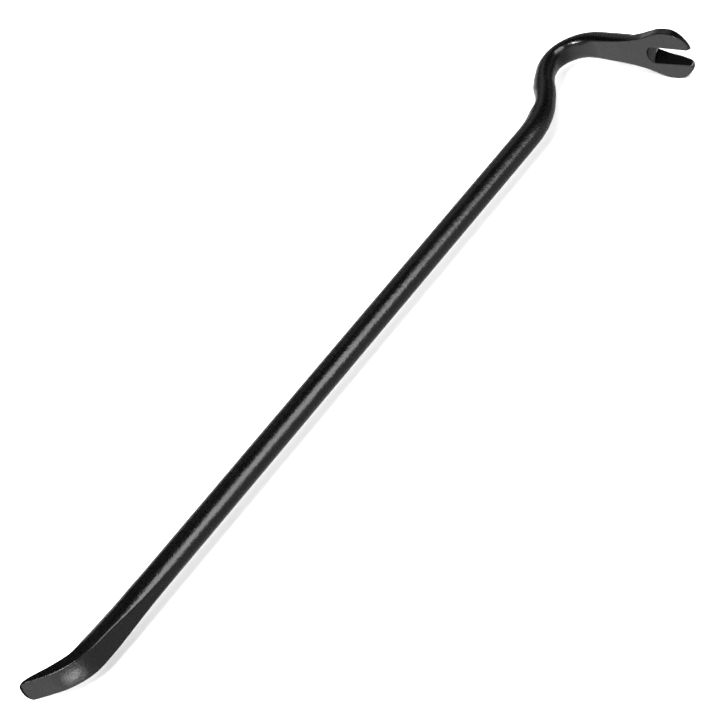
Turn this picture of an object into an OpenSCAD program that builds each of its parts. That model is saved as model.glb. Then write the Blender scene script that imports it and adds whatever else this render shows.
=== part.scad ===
// Gooseneck pry bar: one forging of round steel bar.
// A bent chisel is at the -X end and a hooked nail claw at the +X end.
// The bar lies on its side, with its bends in the horizontal plane. It is
// split where its shape changes, and the pieces meet face to face.

/* [Round bar] */
// Diameter of the bar
bar_d = 16; // [14:0.5:18]
// Length of the straight round shank
shank_len = 395; // [200:0.5:900]

/* [Gooseneck] */
// Centreline radius of the offset bend, where the bar leaves the shank's line
offset_r = 68; // [50:1:100]
// Turn of the offset bend, in degrees
offset_a = 30; // [20:1:40]
// Straight length between the two bends
neck_len = 32; // [20:1:60]
// Centreline radius of the hook bend
hook_r = 26.5; // [24:0.5:36]
// Direction of the claw, in degrees back from the shank's line
claw_a = 87; // [75:1:95]

/* [Claw] */
// Length of the claw, from the end of the hook bend to the tips
claw_len = 71.5; // [68:0.5:73]
// Width across the two prongs
claw_w = 36.4; // [35:0.2:38]
// Thickness at the tips
tip_t = 3; // [2:0.5:4]
// Width of the nail slot on the flat face
slot_w = 14; // [13.4:0.2:16]
// Slant of the slot's walls, in degrees, so that it narrows towards the back
slot_slant = 25; // [18:1:28]

/* [Chisel] */
// Length of the flat that is forged onto the end of the shank
taper_len = 54; // [40:1:80]
// Slope of that flat to the shank's line, in degrees
taper_a = 3; // [2:0.5:4]
// Radius of the chisel's bend, on its flat face
toe_r = 40; // [34:1:50]
// Turn of the chisel's bend, in degrees
toe_a = 45; // [35:1:50]
// Length of the straight blade beyond the bend
blade_len = 19; // [16:0.5:30]
// Thickness of the blade at its root
blade_t = 7; // [6:0.5:8]
// Thickness of the blade at its edge
edge_t = 4.2; // [3.5:0.1:5]

/* [Hidden] */
$fn = 96;

bar_r = bar_d / 2;
big = 200; // reaches past the whole bar's section in any direction

// Coating colours: each section has its own shade, so that the joins can be seen
coat_a = "#2b2c2e";
coat_b = "#3a3b3e";

// Gooseneck: the neck starts at the end of the offset bend, the hook at the end of the neck
neck_x = shank_len + offset_r * sin(offset_a);
neck_y = offset_r * (1 - cos(offset_a));
hook_x = neck_x + neck_len * cos(offset_a) + hook_r * sin(offset_a);
hook_y = neck_y + neck_len * sin(offset_a) - hook_r * cos(offset_a);
claw_y = hook_r - bar_r; // from the hook's centre out to the claw's flat face

// Claw, along its flat face from the end of the hook bend
seam_under = -90;        // turns a round surface's seam to the side that the flat face cuts away
arm_len = 36;            // the arm ends and the head starts
arm_root_r = 1.05 * bar_r; // the bar is already spread a little where the arm starts
arm_r = 11;              // radius of the arm's back where the head starts
slot_x = 46;             // centre of the slot's round root
head_x = 56;             // widest place of the head
head_r = claw_w / 2;
plate_t = 7.4;           // thickness of the head's sides where it starts
shoulder_r = 28;         // convex radius of the head's shoulders
shoulder_x = 43.5;       // the shoulders turn into the fillets
fillet_r = 26;           // concave radius between arm and head
shoulder_a = asin((head_x - shoulder_x) / shoulder_r);
shoulder_z = head_r - shoulder_r * (1 - cos(shoulder_a));
fillet_x = shoulder_x - fillet_r * sin(shoulder_a);
fillet_z = shoulder_z + fillet_r * cos(shoulder_a);

// Chisel, measured towards the tip, which is the -X direction
face_x = 3;              // the forged flat starts
side_r = 8.9;            // radius of the chisel's rounded sides
taper_t = 12;            // thickness where the chisel's bend starts
back_a = 8;              // taper of the blade, in degrees
edge_bevel = 1.2;        // depth of the bevel at the cutting edge
edge_bevel_len = 1.8;
edge_corner_r = 6.3;     // corner radius of the cutting edge
edge_half_w = 7.7;       // half the width of the cutting edge
bend_x = face_x + taper_len * cos(taper_a);
bend_y = -bar_r + taper_len * sin(taper_a);
toe_x = bend_x - toe_r * sin(taper_a);
toe_y = bend_y + toe_r * cos(taper_a);
blade_a = taper_a + toe_a;
blade_x = toe_x + toe_r * sin(blade_a);
blade_y = toe_y - toe_r * cos(blade_a);
centre_h = -bend_y;      // height of the bar's centre above the flat at the bend
edge_x = blade_x + blade_len * cos(blade_a) - edge_bevel * sin(blade_a);
back_r = 33;             // radius of the hollow at the back of the chisel's bend
back_x = blade_x - blade_t * sin(blade_a) - back_r * sin(blade_a - back_a);
back_y = blade_y + blade_t * cos(blade_a) + back_r * cos(blade_a - back_a);

// Extents, which put the origin under the middle of the bar
x_min = -edge_x;
x_max = hook_x + (hook_r + bar_r) * cos(90 - claw_a);
y_max = hook_y + hook_r + bar_r;
y_min = hook_y + claw_y * sin(90 - claw_a) - claw_len * sin(claw_a);

module in_frame() {
    translate([-(x_min + x_max) / 2, -(y_min + y_max) / 2, head_r])
        children();
}

// Lays the shape with +X towards the chisel's tip and +Y from its flat face to its back
module towards_toe() {
    in_frame() mirror([1, 0, 0]) children();
}

// Lays the shape with +X along the claw's flat face and +Y from that face to the back
module along_claw() {
    in_frame()
        translate([hook_x, hook_y, 0])
            rotate([0, 0, -claw_a])
                translate([0, claw_y, 0])
                    children();
}

// Round bar bent about the Z axis, from from_a to to_a degrees
module bent_bar(bend_r, from_a, to_a) {
    rotate([0, 0, from_a])
        rotate_extrude(angle = to_a - from_a)
            translate([bend_r, 0])
                circle(bar_r);
}

// Side profile drawn in X and Y, as thick as the whole bar
module side_profile(points) {
    translate([0, 0, -big / 2])
        linear_extrude(big)
            polygon(points);
}

module straight_bar(length) {
    rotate([0, 90, 0])
        cylinder(r = bar_r, h = length);
}

// ---- Chisel ----

module chisel_blade() {
    sides = [
        [0, 0],
        [blade_len - edge_bevel_len, 0],
        [blade_len, edge_bevel],
        [blade_len, edge_t],
        [0, blade_t]
    ];
    color(coat_b)
        towards_toe()
            translate([blade_x, blade_y, 0])
                rotate([0, 0, blade_a])
                    intersection() {
                        side_profile(sides);
                        translate([0, centre_h, 0])
                            rotate([0, 90, 0])
                                cylinder(r = side_r, h = blade_len);
                        blade_outline();
                    }
}

// Plan of the blade: square, with the two corners of its cutting edge rounded
module blade_outline() {
    corner_x = blade_len - edge_corner_r;
    corner_z = edge_half_w - edge_corner_r;
    rotate([90, 0, 0])
        translate([0, 0, -big / 2])
            linear_extrude(big) {
                translate([0, -side_r])
                    square([corner_x, 2 * side_r]);
                translate([0, -corner_z])
                    square([blade_len, 2 * corner_z]);
                for (side = [-1, 1])
                    translate([corner_x, side * corner_z])
                        circle(edge_corner_r);
            }
}

module chisel_bend() {
    color(coat_a)
        towards_toe()
            difference() {
                translate([toe_x, toe_y, 0])
                    rotate([0, 0, taper_a - 90])
                        rotate_extrude(angle = toe_a)
                            intersection() {
                                translate([toe_r - centre_h, 0])
                                    circle(side_r);
                                translate([0, -side_r])
                                    square([toe_r, 2 * side_r]);
                            }
                translate([back_x, back_y, -big / 2])
                    cylinder(r = back_r, h = big);
            }
}

module chisel_taper() {
    sides = [
        [0, -bar_r],
        [face_x, -bar_r],
        [bend_x, bend_y],
        [bend_x - taper_t * sin(taper_a), bend_y + taper_t * cos(taper_a)],
        [0, bar_r]
    ];
    color(coat_b)
        towards_toe()
            intersection() {
                side_profile(sides);
                rotate([0, 90, 0])
                    cylinder(r1 = bar_r, r2 = side_r, h = bend_x);
            }
}

// ---- Shank and gooseneck ----

module shank() {
    color(coat_a)
        in_frame()
            straight_bar(shank_len);
}

module offset_bend() {
    color(coat_b)
        in_frame()
            translate([shank_len, offset_r, 0])
                bent_bar(offset_r, -90, offset_a - 90);
}

module neck() {
    color(coat_a)
        in_frame()
            translate([neck_x, neck_y, 0])
                rotate([0, 0, offset_a])
                    straight_bar(neck_len);
}

module hook_bend() {
    color(coat_b)
        in_frame()
            translate([hook_x, hook_y, 0])
                bent_bar(hook_r, 90 - claw_a, 90 + offset_a);
}

// ---- Claw ----

// The arm is the bar spread into a cone: its axis dips to the flat face by the arm's end
module claw_arm() {
    axis_h = bar_d - arm_root_r;
    dip_a = atan(axis_h / arm_len);
    axis_len = arm_len / cos(dip_a);
    spread = (arm_r - arm_root_r) / axis_len;
    over = 4;
    sides = [[0, 0], [arm_len, 0], [arm_len, big / 2], [0, big / 2]];
    color(coat_a)
        along_claw()
            intersection() {
                side_profile(sides);
                translate([0, axis_h, 0])
                    rotate([0, 0, -dip_a])
                        rotate([0, 90, 0])
                            translate([0, 0, -over]) rotate([0, 0, seam_under])
                                cylinder(
                                    r1 = arm_root_r - over * spread,
                                    r2 = arm_r + over * spread,
                                    h = axis_len + 2 * over
                                );
            }
}

// Head and prongs before the slot is cut: a tapered plate with the bar's ridge along its back
module claw_body(from_x, to_x) {
    ridge_a = atan((arm_r - tip_t) / (claw_len - arm_len));
    function plate_at(x) =
        plate_t + (tip_t - plate_t) * (x - arm_len) / (claw_len - arm_len);
    plate = [[from_x, 0], [to_x, 0], [to_x, plate_at(to_x)], [from_x, plate_at(from_x)]];
    span = [[from_x, 0], [to_x, 0], [to_x, big / 2], [from_x, big / 2]];
    intersection() {
        union() {
            side_profile(plate);
            intersection() {
                side_profile(span);
                translate([arm_len, 0, 0])
                    rotate([0, 0, -ridge_a])
                        rotate([0, 90, 0])
                            translate([0, 0, -claw_len / 2]) rotate([0, 0, seam_under])
                                cylinder(r = arm_r, h = 2 * claw_len);
            }
        }
        claw_outline();
    }
}

// Plan of the head: fillets, shoulders and the round end that makes the prongs' outer edges
module claw_outline() {
    rotate([90, 0, 0])
        translate([0, 0, -big / 2])
            linear_extrude(big) {
                difference() {
                    translate([arm_len - 1, -shoulder_z])
                        square([shoulder_x - arm_len + 1, 2 * shoulder_z]);
                    for (side = [-1, 1])
                        translate([fillet_x, side * fillet_z])
                            circle(fillet_r);
                }
                intersection() {
                    translate([shoulder_x, -head_r])
                        square([head_x - shoulder_x, claw_w]);
                    translate([head_x, head_r - shoulder_r])
                        circle(shoulder_r);
                    translate([head_x, shoulder_r - head_r])
                        circle(shoulder_r);
                }
                intersection() {
                    translate([head_x, 0])
                        circle(head_r);
                    translate([head_x, -head_r])
                        square([claw_len - head_x, claw_w]);
                }
            }
}

// The nail slot's walls slant in towards the back, and so does its round root
module nail_slot() {
    depth = 14;
    lead = 1;
    face_r = slot_w / 2;
    slant = tan(slot_slant);
    translate([slot_x, 0, 0])
        rotate([-90, 0, 0])
            translate([0, 0, -lead])
                cylinder(r1 = face_r + lead * slant, r2 = face_r - depth * slant, h = depth + lead);
    translate([slot_x, 0, 0])
        rotate([90, 0, 90])
            linear_extrude(claw_len)
                polygon([
                    [-lead, -face_r - lead * slant],
                    [depth, -face_r + depth * slant],
                    [depth, face_r - depth * slant],
                    [-lead, face_r + lead * slant]
                ]);
}

module claw_head() {
    color(coat_b)
        along_claw()
            difference() {
                claw_body(arm_len, slot_x);
                nail_slot();
            }
}

module claw_prong(side) {
    color(coat_a)
        along_claw()
            intersection() {
                difference() {
                    claw_body(slot_x, claw_len);
                    nail_slot();
                }
                translate([0, 0, side > 0 ? 0 : -big])
                    linear_extrude(big)
                        translate([0, -bar_d])
                            square([2 * claw_len, 4 * bar_d]);
            }
}

module claw_prong_upper() {
    claw_prong(1);
}

module claw_prong_lower() {
    claw_prong(-1);
}

chisel_blade();
chisel_bend();
chisel_taper();
shank();
offset_bend();
neck();
hook_bend();
claw_arm();
claw_head();
claw_prong_upper();
claw_prong_lower();
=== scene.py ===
"""Looks for the gooseneck pry bar: a forged, powder-coated bar with a nail claw and a chisel.

The bar is one smooth shape. Every section of it is the zero level of a smooth function, so that
flats, rounded edges and fillets run into each other as on a forging. The round parts are swept
rings, and the chisel's blade and the claw's head, where the section opens, are surface nets.
Lengths inside the shape code are millimetres, and the meshes are metres in the CAD frame.
"""

import math

import bmesh
import bpy
import numpy as np
from mathutils import Matrix, Vector


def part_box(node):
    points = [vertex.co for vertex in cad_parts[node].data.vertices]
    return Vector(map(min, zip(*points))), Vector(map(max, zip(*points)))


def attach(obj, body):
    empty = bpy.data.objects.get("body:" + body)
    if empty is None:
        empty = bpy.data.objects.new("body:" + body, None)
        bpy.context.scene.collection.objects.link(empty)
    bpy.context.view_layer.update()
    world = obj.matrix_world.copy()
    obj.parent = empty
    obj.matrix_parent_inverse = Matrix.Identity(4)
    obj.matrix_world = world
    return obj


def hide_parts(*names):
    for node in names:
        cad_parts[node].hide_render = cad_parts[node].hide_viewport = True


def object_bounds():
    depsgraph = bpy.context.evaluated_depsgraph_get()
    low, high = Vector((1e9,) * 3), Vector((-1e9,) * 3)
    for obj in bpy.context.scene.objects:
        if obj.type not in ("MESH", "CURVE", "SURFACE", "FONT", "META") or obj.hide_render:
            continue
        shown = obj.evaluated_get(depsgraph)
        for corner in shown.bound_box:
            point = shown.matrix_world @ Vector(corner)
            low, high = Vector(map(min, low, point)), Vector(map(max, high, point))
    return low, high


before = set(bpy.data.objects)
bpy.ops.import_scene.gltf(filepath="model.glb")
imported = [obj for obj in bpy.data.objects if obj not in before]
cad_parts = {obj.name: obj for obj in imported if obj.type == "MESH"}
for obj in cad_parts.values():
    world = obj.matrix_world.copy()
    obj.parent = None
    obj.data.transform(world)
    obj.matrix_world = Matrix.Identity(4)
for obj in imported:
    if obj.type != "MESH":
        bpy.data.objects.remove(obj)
bounds_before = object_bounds()

MM = 0.001

# ---- Sizes of the bar, in millimetres and degrees ----

shank_low, shank_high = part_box("shank")
BAR_R = (shank_high.z - shank_low.z) / 2 / MM
SHANK_LEN = (shank_high.x - shank_low.x) / MM
ORIGIN = np.array([shank_low.x, (shank_low.y + shank_high.y) / 2, (shank_low.z + shank_high.z) / 2])

BLADE_LEN = 19.0
TOE_R = 40.0
TOE_TURN = 45.0
TAPER_LEN = 54.0
TAPER_TURN = 3.0
KINK_R = 110.0  # softens the change of slope where the chisel's flat starts
FACE_START = 3.0
OFFSET_R = 68.0
OFFSET_TURN = 30.0
NECK_LEN = 32.0
HOOK_R = 26.5
HOOK_TURN = 117.0
CLAW_LEN = 71.5
ARM_LEN = 36.0
PRONG_START = 46.0
FADE = 4.0  # a rounding is at most this many times as wide as the cut that it rounds is deep

HALF_POINTS = 84  # points round one half of a ring
NET_STEP = 0.36  # cell size of the surface nets


# ---- Smooth shapes ----


def smooth_max(a, b, k):
    """The larger of two distances, rounded over a width k where they meet."""
    k = np.maximum(k, 1e-6)
    overlap = np.maximum(k - np.abs(a - b), 0) / k
    return np.maximum(a, b) + overlap * overlap * k / 4


def smooth_min(a, b, k):
    return -smooth_max(-a, -b, k)


def hump(x, middle, width):
    """A smooth hump, one high."""
    return np.exp(-(((x - middle) / width) ** 2))


def profile(x, *knots):
    """A smooth curve through (position, value) knots that doesn't overshoot between them."""
    xs, ys = np.array(knots, float).T
    step = np.diff(ys) / np.diff(xs)
    slope = np.empty(len(xs))
    slope[0], slope[-1] = step[0], step[-1]
    same = step[:-1] * step[1:] > 0
    both = np.where(same, step[:-1] + step[1:], 1)
    slope[1:-1] = np.where(same, 2 * step[:-1] * step[1:] / both, 0)
    x = np.clip(x, xs[0], xs[-1])
    i = np.clip(np.searchsorted(xs, x) - 1, 0, len(xs) - 2)
    width = xs[i + 1] - xs[i]
    t = (x - xs[i]) / width
    rise = ys[i] * (1 + 2 * t) * (1 - t) ** 2 + ys[i + 1] * t * t * (3 - 2 * t)
    return rise + width * (slope[i] * t * (1 - t) ** 2 - slope[i + 1] * t * t * (1 - t))


# ---- The line that the sections stand on: the bar's -Y side, which becomes both flats ----


def walk(x, y, heading, steps):
    """Follows (length, left turn in degrees) steps and returns where each one starts."""
    found, s = [], 0.0
    for length, turn in steps:
        bend = math.radians(turn) / length
        found.append((s, x, y, heading, bend))
        if bend:
            x += (math.sin(heading + bend * length) - math.sin(heading)) / bend
            y -= (math.cos(heading + bend * length) - math.cos(heading)) / bend
        else:
            x += length * math.cos(heading)
            y += length * math.sin(heading)
        heading += bend * length
        s += length
    return found, s, (x, y, heading)


KINK_SIDE = KINK_R * math.tan(math.radians(TAPER_TURN / 2))
KINK_LEN = KINK_R * math.radians(TAPER_TURN)
TOE_LEN = TOE_R * math.radians(TOE_TURN)
HOOK_LEN = (HOOK_R - BAR_R) * math.radians(HOOK_TURN)
OFFSET_LEN = (OFFSET_R + BAR_R) * math.radians(OFFSET_TURN)
CHISEL_STEPS = [
    (BLADE_LEN, 0),
    (TOE_LEN, TOE_TURN),
    (TAPER_LEN - KINK_SIDE, 0),
    (KINK_LEN, TAPER_TURN),
    (FACE_START - KINK_SIDE, 0),
]
BAR_STEPS = [
    (SHANK_LEN, 0),
    (OFFSET_LEN, OFFSET_TURN),
    (NECK_LEN, 0),
    (HOOK_LEN, -HOOK_TURN),
    (CLAW_LEN, 0),
]
TIP_HEADING = -math.radians(TOE_TURN + TAPER_TURN)
_, CHISEL_LEN, chisel_end = walk(0, 0, TIP_HEADING, CHISEL_STEPS)
LINE, LINE_LEN, _ = walk(-chisel_end[0], -BAR_R - chisel_end[1], TIP_HEADING, CHISEL_STEPS + BAR_STEPS)
BLADE_END = BLADE_LEN
TOE_END = BLADE_END + TOE_LEN
HOOK_END = LINE_LEN - CLAW_LEN


def line_at(s):
    """Point and heading of the line at distances s from the chisel's edge."""
    s = np.asarray(s, float)
    starts = np.array([row[0] for row in LINE])
    i = np.clip(np.searchsorted(starts, s, side="right") - 1, 0, len(LINE) - 1)
    s0, x0, y0, h0, bend = np.array(LINE).T[:, i]
    t = s - s0
    heading = h0 + bend * t
    curved = np.abs(bend) > 0
    safe = np.where(curved, bend, 1)
    x = np.where(curved, x0 + (np.sin(heading) - np.sin(h0)) / safe, x0 + t * np.cos(h0))
    y = np.where(curved, y0 - (np.cos(heading) - np.cos(h0)) / safe, y0 + t * np.sin(h0))
    return x, y, heading


def to_world(s, n, z):
    """Metres in the CAD frame, for a place s along the line, n off it and z above the middle."""
    x, y, heading = line_at(s)
    flat = np.stack([x - n * np.sin(heading), y + n * np.cos(heading), z + 0 * x], -1)
    return flat * MM + ORIGIN


# ---- Sections: n runs from the flat to the back, z across the bar ----


def chisel_shape(t, n, z):
    """Chisel, t millimetres beyond the shank towards its edge."""
    sink, crown, edge_round, side_round, back_r = 0.42, 0.006, 0.6, 0.8, 80.0
    toe = CHISEL_LEN - TOE_END
    root = CHISEL_LEN - BLADE_END
    radius = profile(t, (FACE_START, BAR_R), (30, 8.4), (45, 8.95), (toe, 9.25), (70, 9.5), (CHISEL_LEN, 9.5))
    centre = profile(t, (0, BAR_R), (6, 7.84), (toe, 5.17), (CHISEL_LEN, 5.17))
    back = profile(
        t,
        (-1, 16.5), (10, 15.8), (40, 14.8), (toe, 14.0), (63, 11.4), (69, 9.8), (75, 9.1),
        (81, 8.5), (87, 7.4), (93, 5.9), (99, 4.3), (103, 2.8), (108, 1.5),
    )
    back_round = profile(t, (toe, 3.0), (root, 1.8), (CHISEL_LEN, 1.0))
    back_round = np.minimum(back_round, np.maximum(FADE * (centre + radius - back), 0))
    side = profile(t, (toe - 10, 11.0), (toe + 10, 8.6), (root - 8, 8.0), (root, 7.8), (CHISEL_LEN, 7.6))
    face = sink * hump(t, FACE_START + 1, 12)
    face_round = np.minimum(edge_round, FADE * (radius - centre + face))
    bulge = crown * hump(t, root - 12, 14)
    shape = np.hypot(n - centre, z) - radius
    shape = smooth_max(shape, n - back + z * z / (2 * back_r), back_round)
    shape = smooth_max(shape, np.abs(z) - side, side_round)
    return smooth_max(shape, face - n + bulge * z * z, face_round)


def blade_shape(x, n, z):
    """The blade with its cutting edge, x millimetres beyond the chisel's bend."""
    half, corner_r, corner_round = 7.7, 6.3, 0.5
    nose_r, nose_len, nose_round = 20.0, 2.2, 0.6
    nose_out, nose_down = 0.56, 0.83  # the way that the nose's bevel faces
    shape = chisel_shape(x + CHISEL_LEN - BLADE_END, n, z)
    across = np.abs(z) - half + corner_r
    along = x - BLADE_LEN + corner_r
    corner = np.hypot(np.maximum(across, 0), np.maximum(along, 0)) + np.minimum(np.maximum(across, along), 0)
    shape = smooth_max(shape, corner - corner_r, corner_round)
    nose = np.hypot(x - BLADE_LEN + nose_r, z) - nose_r + nose_len
    return smooth_max(shape, nose * nose_out - n * nose_down, nose_round)


def claw_outline(u, z):
    """Distance outside the plan of the claw's head."""
    shoulder_x, wide_x, shoulder_r, end_r, head_r = 43.5, 56.2, 30.0, 16.8, 18.2
    z = np.abs(z)
    arm = ((20, 8.9), (26, 9.8), (30, 10.7), (34.5, 11.9), (39, 13.6), (shoulder_x, 15.3))
    h = 0.1
    slope = (profile(u + h, *arm) - profile(u - h, *arm)) / (2 * h)
    flank = (z - profile(u, *arm)) / np.sqrt(1 + slope * slope)
    shoulder = np.hypot(u - wide_x, z + shoulder_r - head_r) - shoulder_r
    end = np.hypot(u - wide_x, z + end_r - head_r) - end_r
    return np.where(u < shoulder_x, flank, np.where(u < wide_x, shoulder, end))


def root_ledge(u, v, z):
    """Distance outside the sloping ledge that the forging leaves in the nail slot's root."""
    top_u, top_v, top_z, slope_u, slope_z, top_steep = 41.0, 1.0, -3.0, 0.2, 0.3, 1.08
    lip_u, lip_skew, lip_slant, lip_steep, lip_round = 44.35, 0.25, 0.9, 1.35, 0.3
    top = top_v + slope_u * (u - top_u) + slope_z * (z - top_z)
    lip = u - lip_u - lip_skew * z + lip_slant * (v - top)
    return smooth_max((top - v) / top_steep, lip / lip_steep, lip_round)


def nail_slot(u, v, z):
    """Distance outside the nail slot, whose walls slant in towards the back."""
    slant = math.radians(25)
    root_r, root_half, tip_half, lean = 7.4, 6.4, 5.9, 0.21
    off_middle, wall_round, ledge_round = 0.3, 0.2, 0.3
    z = z + off_middle
    half = root_half + (tip_half - root_half) * np.clip((u - PRONG_START) / (CLAW_LEN - PRONG_START), 0, 1)
    deep = v * math.tan(slant)
    root = np.hypot(np.minimum(u - PRONG_START + lean * v, 0), z) - root_r + deep
    wall = np.abs(z) - half + deep
    slot = smooth_max(root, wall, wall_round) * math.cos(slant)
    return smooth_max(slot, -root_ledge(u, v, z), ledge_round)


def claw_ridge(u, v, z):
    """Distance outside the round back, which the forging squashes inside the hook."""
    thick = profile(
        u,
        (-60, 16.0), (-48, 15.9), (-42, 15.5), (-36, 14.9), (-30, 14.7), (-20, 15.0), (-12, 15.0),
        (0, 14.6), (20, 14.0), (25, 13.5), (30, 13.2), (36, 12.0), (44, 9.6), (53, 7.2), (72, 2.9),
    )
    radius = profile(
        u,
        (-33, BAR_R), (-16, 8.3), (0, 9.0), (13, 9.6), (25, 10.4), (33, 11.0), (45, 11.0), (72, 11.0),
    )
    squash = profile(
        u,
        (-62, 1.0), (-54, 0.96), (-46, 0.88), (-38, 0.82), (-30, 0.79), (-24, 0.80), (-14, 0.87),
        (-4, 1.0),
    )
    ridge = (np.hypot((v - thick) / squash + radius, z) - radius) * squash
    return ridge, 2 * radius * squash - thick


def claw_plate(u, v, z):
    """Distance outside the spread plate on both sides of the ridge."""
    plate_round = 1.5
    edge_v = profile(
        u,
        (8, -6.0), (20, 1.0), (26, 5.5), (30, 8.0), (36, 8.4), (44, 7.9), (52, 6.8), (60, 6.1),
        (68, 4.4), (72, 3.4),
    )
    return smooth_max(v - edge_v, claw_outline(u, z), plate_round)


def claw_shape(u, v, z):
    """Neck, hook and claw, u millimetres beyond the hook's end, negative before it."""
    waist_depth, waist_widest, tip_round, slot_round = 2.6, 5.0, 2.5, 0.5
    ridge, overlap = claw_ridge(u, v, z)
    shape = smooth_min(ridge, claw_plate(u, v, z), profile(u, (26, 0.8), (45, 3.5)))
    waist = waist_depth * hump(u, -71, 11)
    shape = smooth_max(shape, v - 2 * BAR_R + waist, np.minimum(waist_widest, FADE * waist))
    inner = profile(
        u, (-40, -1.0), (-30, 2.6), (-24, 3.2), (-14, 2.0), (-5, 1.0), (3, 0.5), (12, 0.2), (18, 0.0)
    )
    face_round = profile(u, (-30, 5.0), (-20, 4.5), (-8, 1.6), (0, 0.7), (CLAW_LEN, 0.5))
    face_round = np.minimum(face_round, np.maximum(FADE * (overlap + inner), 0))
    shape = smooth_max(shape, inner - v, face_round)
    tip_end = smooth_max(u - CLAW_LEN, -nail_slot(u, v, z), tip_round)
    no_cut = -20.0
    return smooth_max(shape, np.where(u > ARM_LEN - 8, tip_end, no_cut), slot_round)


def bar_shape(s, n, z):
    """The whole bar's section at distance s from the chisel's edge."""
    chisel_reach, claw_reach = 40.0, 110.0  # how far each end's shape goes on along the bar
    plain = np.hypot(n - BAR_R, z) - BAR_R
    chisel = chisel_shape(CHISEL_LEN - s, n, z)
    claw = claw_shape(s - HOOK_END, n, z)
    return np.where(s < CHISEL_LEN + chisel_reach, chisel, np.where(s > HOOK_END - claw_reach, claw, plain))


# ---- Swept rings ----


def ring_halves(s):
    """Points (n, z) round the upper half of the sections at s, closer together at the edges."""
    rays, rounds, edge_share = 540, 44, 4.0
    angle = np.linspace(0, math.pi, rays)[None, :]
    s = np.asarray(s, float)[:, None]
    u = s - HOOK_END
    heart = np.where(u > 0, profile(u, (0, 7.0), (ARM_LEN, 4.0)), BAR_R)
    heart = np.where(s < CHISEL_LEN, profile(s, (BLADE_LEN, 3.5), (CHISEL_LEN, BAR_R)), heart)
    low = np.zeros((len(s), rays))
    high = np.full((len(s), rays), 2.5 * BAR_R)
    for _ in range(rounds):
        r = (low + high) / 2
        outside = bar_shape(s + 0 * r, heart - r * np.cos(angle), r * np.sin(angle)) > 0
        high = np.where(outside, r, high)
        low = np.where(outside, low, r)
    n, z = heart - low * np.cos(angle), low * np.sin(angle)
    dn, dz = np.diff(n), np.diff(z)
    heading = np.unwrap(np.arctan2(dz, dn), axis=1)
    turn = np.abs(np.diff(heading, axis=1))
    turn = np.pad(turn, ((0, 0), (1, 0)))
    weight = np.cumsum(np.hypot(dn, dz) + edge_share * turn, axis=1)
    weight = np.pad(weight, ((0, 0), (1, 0)))
    halves = []
    for row, row_n, row_z in zip(weight, n, z):
        wanted = np.linspace(0, row[-1], HALF_POINTS + 1)
        halves.append(np.stack([np.interp(wanted, row, row_n), np.interp(wanted, row, row_z)], -1))
    return np.array(halves)


def full_rings(s):
    """World points of the whole rings at s."""
    half = ring_halves(s)
    other = half[:, -2:0:-1] * np.array([1, -1])
    ring = np.concatenate([half, other], 1)
    s = np.asarray(s, float)[:, None]
    return to_world(s + 0 * ring[:, :, 0], ring[:, :, 0], ring[:, :, 1])


def ring_normals(rings):
    """Normals of the swept surface at the rings' points."""
    along = np.gradient(rings, axis=0)
    round_it = np.roll(rings, -1, 1) - np.roll(rings, 1, 1)
    normal = np.cross(round_it, along)
    return normal / np.linalg.norm(normal, axis=2, keepdims=True)


def add_mesh(name, points, faces, normals, cap_faces):
    """One object from world points. The caps keep their own flat normals."""
    mesh = bpy.data.meshes.new(name)
    mesh.from_pydata([tuple(p) for p in points], [], [tuple(f) for f in faces])
    mesh.polygons.foreach_set("use_smooth", [True] * len(mesh.polygons))
    loops = []
    for polygon in mesh.polygons:
        if polygon.index in cap_faces:
            loops.extend([tuple(polygon.normal)] * polygon.loop_total)
        else:
            loops.extend(tuple(normals[v]) for v in polygon.vertices)
    mesh.normals_split_custom_set(loops)
    piece = bpy.data.objects.new(name, mesh)
    bpy.context.scene.collection.objects.link(piece)
    return piece


def add_tube(name, rings, normals):
    """A closed piece through the rings, with a flat cap at each end."""
    count, around = rings.shape[:2]
    faces = []
    for i in range(count - 1):
        a, b = i * around, (i + 1) * around
        for j in range(around):
            k = (j + 1) % around
            faces.append((a + j, b + j, b + k, a + k)[::-1])
    first = tuple(range(around))
    last = tuple(range((count - 1) * around, count * around))[::-1]
    caps = {len(faces), len(faces) + 1}
    faces += [first[::-1], last[::-1]]
    return add_mesh(name, rings.reshape(-1, 3), faces, normals.reshape(-1, 3), caps)


def spread(start, end, step):
    """Even places from start to end, no further apart than step."""
    count = max(2, int(math.ceil((end - start) / step)) + 1)
    return np.linspace(start, end, count)


def add_tubes(pieces):
    """The seven swept pieces. One ring beyond each end gives the end rings their normals."""
    coarse = 1.0
    beyond = 0.5
    shank_end = CHISEL_LEN + SHANK_LEN
    hook_start = HOOK_END - HOOK_LEN
    arm_end = HOOK_END + ARM_LEN
    cuts = [
        ("chisel_bend", BLADE_END, TOE_END, 1.0),
        ("chisel_taper", TOE_END, CHISEL_LEN, 1.2),
        ("shank", CHISEL_LEN, shank_end, 2.5),
        ("offset_bend", shank_end, hook_start - NECK_LEN, 1.3),
        ("neck", hook_start - NECK_LEN, hook_start, 1.5),
        ("hook_bend", hook_start, HOOK_END, 0.5),
        ("claw_arm", HOOK_END, arm_end, 0.8),
    ]
    places, spans = [BLADE_END - beyond], {}
    for name, start, end, step in cuts:
        row = spread(start, end, step * coarse)
        spans[name] = (len(places), len(places) + len(row))
        places.extend(row[:-1])
    places.extend([arm_end, arm_end + beyond])
    rings = full_rings(places)
    normals = ring_normals(rings)
    for name, (start, end) in spans.items():
        pieces[name] = add_tube(name + "_coated", rings[start:end], normals[start:end])


# ---- Surface nets ----


def gradient(shape, p):
    """The shape's slope along each axis at points p."""
    h = 1e-3
    out = np.empty_like(p)
    for axis in range(3):
        step = np.zeros(3)
        step[axis] = h
        out[:, axis] = (shape(*(p + step).T) - shape(*(p - step).T)) / (2 * h)
    return out


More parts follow.
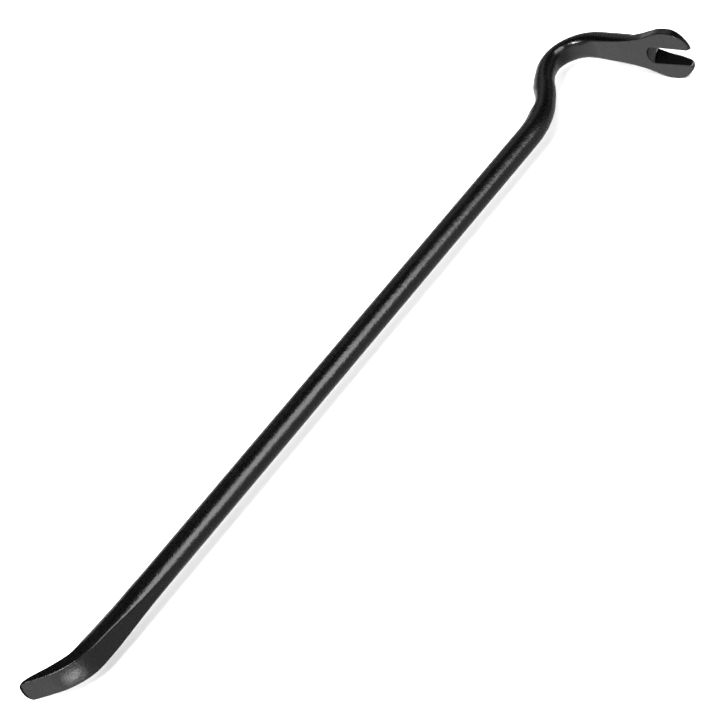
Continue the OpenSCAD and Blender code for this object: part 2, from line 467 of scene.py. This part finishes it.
def settle(shape, p, rounds=6):
    """Moves points onto the shape's surface."""
    least_steep = 0.04
    for _ in range(rounds):
        g = gradient(shape, p)
        move = shape(*p.T)[:, None] * g / np.maximum((g * g).sum(1, keepdims=True), least_steep)
        p = p - np.clip(move, -NET_STEP / 2, NET_STEP / 2)
    return p


def surface_net(shape, low, high):
    """Quads on the shape's surface inside the box from low to high."""
    axes = [np.arange(a, b + NET_STEP, NET_STEP) for a, b in zip(low, high)]
    grid = np.meshgrid(*axes, indexing="ij")
    value = shape(*grid)
    inside = value < 0
    cells = [n - 1 for n in inside.shape]
    total = np.zeros(cells, int)
    for i in (0, 1):
        for j in (0, 1):
            for k in (0, 1):
                total += inside[i : i + cells[0], j : j + cells[1], k : k + cells[2]]
    active = (total > 0) & (total < 8)
    number = np.full(cells, -1)
    number[active] = np.arange(active.sum())
    where = np.argwhere(active)
    points = np.array([a[0] for a in axes]) + (where + 0.5) * NET_STEP
    faces = []
    for axis in range(3):
        b, c = (axis + 1) % 3, (axis + 2) % 3
        lower = [slice(None)] * 3
        upper = [slice(None)] * 3
        lower[axis], upper[axis] = slice(0, -1), slice(1, None)
        change = inside[tuple(lower)] != inside[tuple(upper)]
        edges = np.argwhere(change)
        ok = np.ones(len(edges), bool)
        for side in (b, c):
            ok &= (edges[:, side] > 0) & (edges[:, side] < cells[side])
        edges = edges[ok]
        outward = inside[tuple(edges.T)]
        corner = []
        for db, dc in ((0, 0), (1, 0), (1, 1), (0, 1)):
            cell = edges.copy()
            cell[:, b] -= db
            cell[:, c] -= dc
            corner.append(number[tuple(cell.T)])
        quad = np.stack(corner, 1)
        quad[~outward] = quad[~outward][:, ::-1]
        faces.append(quad)
    faces = np.concatenate(faces)
    return relax(shape, settle(shape, points), faces), faces


def relax(shape, points, faces, rounds=4):
    """Evens out the quads while the points stay on the surface."""
    for _ in range(rounds):
        total = np.zeros_like(points)
        count = np.zeros(len(points))
        for i in range(4):
            a, b = faces[:, i], faces[:, (i + 1) % 4]
            np.add.at(total, a, points[b])
            np.add.at(total, b, points[a])
            np.add.at(count, a, 1)
            np.add.at(count, b, 1)
        mean = total / np.maximum(count, 1)[:, None]
        g = gradient(shape, points)
        g /= np.maximum(np.linalg.norm(g, axis=1, keepdims=True), 1e-9)
        move = mean - points
        move -= (move * g).sum(1, keepdims=True) * g
        points = settle(shape, points + 0.5 * move, 2)
    return points


def cut_net(name, shape, net, planes, keep, place, mirrored=False):
    """The part of a net between planes (point, normal), closed with caps and put in the world."""
    points, faces = net
    bm = bmesh.new()
    verts = [bm.verts.new(p) for p in points]
    for f in faces:
        bm.faces.new([verts[i] for i in f])
    for co, no in planes:
        geom = bm.verts[:] + bm.edges[:] + bm.faces[:]
        bmesh.ops.bisect_plane(bm, geom=geom, dist=1e-4, plane_co=co, plane_no=no, clear_outer=True)
    drop = [v for v in bm.verts if not keep(v.co)]
    bmesh.ops.delete(bm, geom=drop, context="VERTS")
    shell = len(bm.faces)
    open_edges = [e for e in bm.edges if e.is_boundary]
    bmesh.ops.holes_fill(bm, edges=open_edges, sides=0)
    bm.verts.index_update()
    bm.faces.ensure_lookup_table()
    local = np.array([v.co for v in bm.verts], float)
    quads = [[v.index for v in f.verts] for f in bm.faces]
    caps = set(range(shell, len(quads)))
    bm.free()
    world = place(local)
    tilt = 1e-3
    g = gradient(shape, local)
    normal = place(local + tilt * g) - world
    normal /= np.linalg.norm(normal, axis=1, keepdims=True)
    if mirrored:
        quads = [q[::-1] for q in quads]
    return add_mesh(name, world, quads, normal, caps)


def blade_place(p):
    return to_world(BLADE_END - p[:, 0], p[:, 1], p[:, 2])


def claw_place(p):
    return to_world(HOOK_END + p[:, 0], p[:, 1], p[:, 2])


def everywhere(co):
    return True


def add_blade(pieces):
    low, high = (-1.5, -1.2, -10.0), (BLADE_LEN + 1.2, 9.5, 10.0)
    net = surface_net(blade_shape, low, high)
    end = [((0, 0, 0), (-1, 0, 0))]
    pieces["chisel_blade"] = cut_net(
        "chisel_blade_coated", blade_shape, net, end, everywhere, blade_place, mirrored=True
    )


def add_claw(pieces):
    low, high = (ARM_LEN - 1.5, -1.2, -19.5), (CLAW_LEN + 1.2, 12.5, 19.5)
    net = surface_net(claw_shape, low, high)
    head = [((ARM_LEN, 0, 0), (-1, 0, 0)), ((PRONG_START, 0, 0), (1, 0, 0))]
    prong = [((PRONG_START, 0, 0), (-1, 0, 0))]
    parts = [
        ("claw_head", head, everywhere),
        ("claw_prong_upper", prong, lambda co: co.z > 0),
        ("claw_prong_lower", prong, lambda co: co.z < 0),
    ]
    for name, planes, keep in parts:
        pieces[name] = cut_net(name + "_coated", claw_shape, net, planes, keep, claw_place)


pieces = {}
add_tubes(pieces)
add_blade(pieces)
add_claw(pieces)


# ---- Powder coat ----


def add_coat():
    """Black coat with a fine grain, slightly uneven in gloss."""
    dark, pale = (0.0003, 0.0003, 0.0004, 1), (0.0016, 0.0016, 0.0017, 1)
    coat = bpy.data.materials.new("black_coat")
    coat.use_nodes = True
    tree = coat.node_tree
    shader = tree.nodes["Principled BSDF"]
    place = tree.nodes.new("ShaderNodeTexCoord")

    def noise(scale, detail):
        node = tree.nodes.new("ShaderNodeTexNoise")
        node.inputs["Scale"].default_value = scale
        node.inputs["Detail"].default_value = detail
        tree.links.new(place.outputs["Object"], node.inputs["Vector"])
        return node.outputs["Fac"]

    def ramp(value, low, high, out_low, out_high):
        node = tree.nodes.new("ShaderNodeMapRange")
        node.inputs["From Min"].default_value = low
        node.inputs["From Max"].default_value = high
        node.inputs["To Min"].default_value = out_low
        node.inputs["To Max"].default_value = out_high
        tree.links.new(value, node.inputs["Value"])
        return node.outputs["Result"]

    def bump(height, strength, distance):
        node = tree.nodes.new("ShaderNodeBump")
        node.inputs["Strength"].default_value = strength
        node.inputs["Distance"].default_value = distance
        tree.links.new(height, node.inputs["Height"])
        return node

    grain = noise(scale=1100, detail=3)
    dapple = noise(scale=260, detail=2)
    patch = noise(scale=28, detail=3)

    mix = tree.nodes.new("ShaderNodeMix")
    mix.data_type = "RGBA"
    mix.inputs["A"].default_value = dark
    mix.inputs["B"].default_value = pale
    tree.links.new(ramp(grain, 0.3, 0.72, out_low=0, out_high=1), mix.inputs["Factor"])
    tree.links.new(mix.outputs["Result"], shader.inputs["Base Color"])

    rough = tree.nodes.new("ShaderNodeMath")
    rough.operation = "ADD"
    tree.links.new(ramp(patch, 0.3, 0.7, out_low=0.23, out_high=0.29), rough.inputs[0])
    tree.links.new(ramp(grain, 0.3, 0.7, out_low=-0.04, out_high=0.06), rough.inputs[1])
    tree.links.new(rough.outputs["Value"], shader.inputs["Roughness"])

    fine = bump(grain, strength=0.35, distance=0.0002)
    soft = bump(dapple, strength=0.35, distance=0.0006)
    tree.links.new(fine.outputs["Normal"], soft.inputs["Normal"])
    tree.links.new(soft.outputs["Normal"], shader.inputs["Normal"])
    shader.inputs["Specular IOR Level"].default_value = 0.5
    return coat


coat = add_coat()
for node, piece in pieces.items():
    piece.data.materials.append(coat)
    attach(piece, "root")
    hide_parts(node)


# ---- Studio ----

middle = (Vector(bounds_before[0]) + Vector(bounds_before[1])) / 2


def add_floor():
    """A pale floor that lies under the bar and that the coat doesn't reflect."""
    size, pale, roughness = 6.0, (0.86, 0.86, 0.86, 1), 0.9
    bm = bmesh.new()
    bmesh.ops.create_grid(bm, x_segments=12, y_segments=12, size=size / 2)
    mesh = bpy.data.meshes.new("floor")
    bm.to_mesh(mesh)
    bm.free()
    floor = bpy.data.objects.new("floor", mesh)
    bpy.context.scene.collection.objects.link(floor)
    paint = bpy.data.materials.new("floor_paint")
    paint.use_nodes = True
    shader = paint.node_tree.nodes["Principled BSDF"]
    shader.inputs["Base Color"].default_value = pale
    shader.inputs["Roughness"].default_value = roughness
    mesh.materials.append(paint)
    floor.visible_glossy = False


def add_light(name, target, azimuth, elevation, distance, size, power):
    """A soft square light that looks at a target. Azimuth turns from -Y towards +X."""
    data = bpy.data.lights.new(name, "AREA")
    data.shape = "RECTANGLE"
    data.size, data.size_y = size
    data.energy = power
    light = bpy.data.objects.new(name, data)
    a, e = math.radians(azimuth), math.radians(elevation)
    offset = Vector((math.sin(a) * math.cos(e), -math.cos(a) * math.cos(e), math.sin(e)))
    light.location = target + offset * distance
    light.rotation_euler = offset.to_track_quat("Z", "Y").to_euler()
    bpy.context.scene.collection.objects.link(light)
    return light


def add_camera(target, azimuth, elevation, roll, distance, lens):
    """A camera that looks at a target. Azimuth turns its view from +Y towards +X."""
    data = bpy.data.cameras.new("camera")
    data.lens = lens
    camera = bpy.data.objects.new("camera", data)
    a, e, r = (math.radians(v) for v in (azimuth, elevation, roll))
    forward = Vector((math.sin(a) * math.cos(e), math.cos(a) * math.cos(e), -math.sin(e)))
    level = forward.cross(Vector((0, 0, 1))).normalized()
    upright = level.cross(forward)
    right = math.cos(r) * level + math.sin(r) * upright
    up = math.cos(r) * upright - math.sin(r) * level
    turn = Matrix((right, up, -forward)).transposed().to_4x4()
    camera.matrix_world = Matrix.Translation(target - forward * distance) @ turn
    bpy.context.scene.collection.objects.link(camera)
    bpy.context.scene.camera = camera


def add_lights():
    key_at = middle + Vector((-0.38, 0, 0))
    rim_at = middle + Vector((-0.25, 0, 0))
    add_light("key", key_at, azimuth=35, elevation=28.5, distance=1.5, size=(1.0, 0.9), power=20)
    add_light("rim", rim_at, azimuth=-63, elevation=56, distance=1.6, size=(0.4, 0.4), power=42)
    top = add_light("top", middle, azimuth=0, elevation=89, distance=2.0, size=(3.0, 3.0), power=110)
    top.visible_glossy = False


def add_surroundings():
    """A dark studio above, and pale surfaces round and below the bar, which its coat reflects."""
    world = bpy.data.worlds.new("studio")
    bpy.context.scene.world = world
    world.use_nodes = True
    world.cycles.sampling_method = "NONE"
    tree = world.node_tree
    background = tree.nodes["Background"]
    background.inputs["Color"].default_value = (1, 1, 1, 1)
    place = tree.nodes.new("ShaderNodeTexCoord")

    def towards(direction, start, end, low, high):
        """Light that goes from low to high as a ray turns towards the direction."""
        dot = tree.nodes.new("ShaderNodeVectorMath")
        dot.operation = "DOT_PRODUCT"
        dot.inputs[1].default_value = Vector(direction).normalized()
        tree.links.new(place.outputs["Generated"], dot.inputs[0])
        step = tree.nodes.new("ShaderNodeMapRange")
        step.interpolation_type = "SMOOTHSTEP"
        step.inputs["From Min"].default_value = start
        step.inputs["From Max"].default_value = end
        step.inputs["To Min"].default_value = low
        step.inputs["To Max"].default_value = high
        tree.links.new(dot.outputs["Value"], step.inputs["Value"])
        return step.outputs["Result"]

    def combine(operation, a, b):
        node = tree.nodes.new("ShaderNodeMath")
        node.operation = operation
        tree.links.new(a, node.inputs[0])
        tree.links.new(b, node.inputs[1])
        return node.outputs["Value"]

    below = towards((0, 0, -1), start=-0.4, end=0.1, low=0.0, high=1.0)
    sides = towards((-0.8, 0.6, 0), start=-0.6, end=0.7, low=0.43, high=1.5)
    above = towards((0.65, 0.5, 0.6), start=0.94, end=1.0, low=0.0, high=0.5)
    total = combine("ADD", combine("MULTIPLY", below, sides), above)
    tree.links.new(total, background.inputs["Strength"])


def add_card(name, target, direction, distance, size, strength):
    """A card under the floor that only the coat reflects. Its glow fades out from its middle."""
    bm = bmesh.new()
    bmesh.ops.create_grid(bm, x_segments=4, y_segments=4, size=0.5)
    bmesh.ops.scale(bm, vec=(*size, 1), verts=bm.verts)
    mesh = bpy.data.meshes.new(name)
    bm.to_mesh(mesh)
    bm.free()
    card = bpy.data.objects.new(name, mesh)
    spot = target + distance * Vector(direction)
    card.location = spot
    card.rotation_euler = (target - spot).to_track_quat("Z", "Y").to_euler()
    bpy.context.scene.collection.objects.link(card)
    glow = bpy.data.materials.new(name + "_glow")
    glow.use_nodes = True
    tree = glow.node_tree
    shader = tree.nodes["Principled BSDF"]
    shader.inputs["Base Color"].default_value = (0, 0, 0, 1)
    shader.inputs["Emission Color"].default_value = (1, 1, 1, 1)
    place = tree.nodes.new("ShaderNodeTexCoord")
    unit = tree.nodes.new("ShaderNodeVectorMath")
    unit.operation = "MULTIPLY"
    unit.inputs[1].default_value = (2 / size[0], 2 / size[1], 0)
    fade = tree.nodes.new("ShaderNodeTexGradient")
    fade.gradient_type = "SPHERICAL"
    power = tree.nodes.new("ShaderNodeMath")
    power.operation = "MULTIPLY"
    power.inputs[1].default_value = strength
    tree.links.new(place.outputs["Object"], unit.inputs[0])
    tree.links.new(unit.outputs["Vector"], fade.inputs["Vector"])
    tree.links.new(fade.outputs["Fac"], power.inputs[0])
    tree.links.new(power.outputs["Value"], shader.inputs["Emission Strength"])
    glow.cycles.emission_sampling = "NONE"
    mesh.materials.append(glow)


def add_cards():
    """A bright card that the chisel's bend reflects, and a dark one for the blade's nose."""
    bend = Vector(to_world(31.0, 0.0, 0.0))
    add_card("low_card", bend, (-0.434, -0.594, -0.678), distance=0.034, size=(0.040, 0.012), strength=14.0)
    low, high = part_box("chisel_blade")
    tip = Vector((low.x, high.y, (low.z + high.z) / 2))
    add_card("tip_flag", tip, (-0.5, 0.58, -0.64), distance=0.11, size=(0.12, 0.12), strength=0.0)


add_floor()
add_lights()
add_surroundings()
add_cards()
aim = middle + Vector((-0.02026, 0.00286, 0))
add_camera(aim, azimuth=37.43, elevation=38.446, roll=-24.652, distance=1.25744, lens=104.83)

bpy.context.scene.view_settings.view_transform = "Standard"
